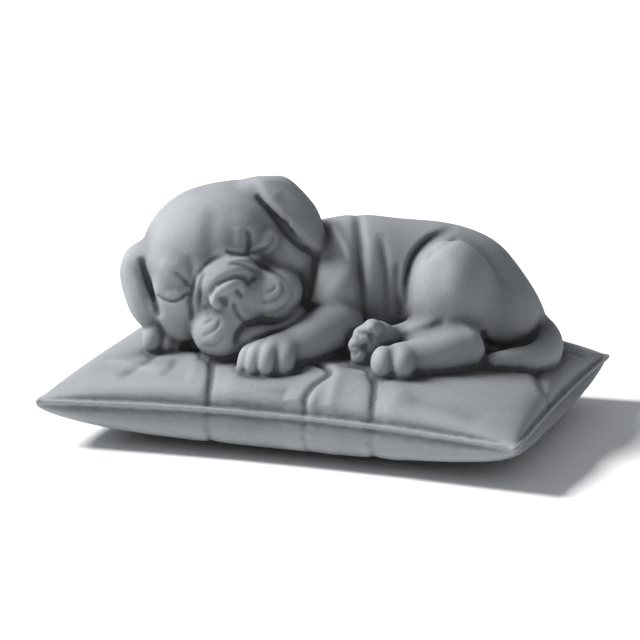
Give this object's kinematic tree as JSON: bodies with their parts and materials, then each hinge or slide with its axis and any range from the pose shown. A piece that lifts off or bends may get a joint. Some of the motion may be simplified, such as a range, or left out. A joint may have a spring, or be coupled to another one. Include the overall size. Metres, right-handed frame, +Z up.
{
  "type": "sleeping puppy sculpture",
  "caption": "Grey cast stone sculpture of a short-haired puppy asleep on a pillow, its head resting by its forepaw and its tail curled round its hind foot.",
  "frame": {"origin": "middle of the casting's overall box, on its flat underside", "axes": "+X along the pillow's long side towards the puppy's rump, -Y towards the side that shows its face and paws, +Z up"},
  "size_m": [0.2411, 0.1696, 0.1225],
  "materials": {
    "cast_stone": "matte, unpainted"
  },
  "bodies": {
    "root": {"puppy_on_pillow": "cast_stone"}
  },
  "joints": []
}
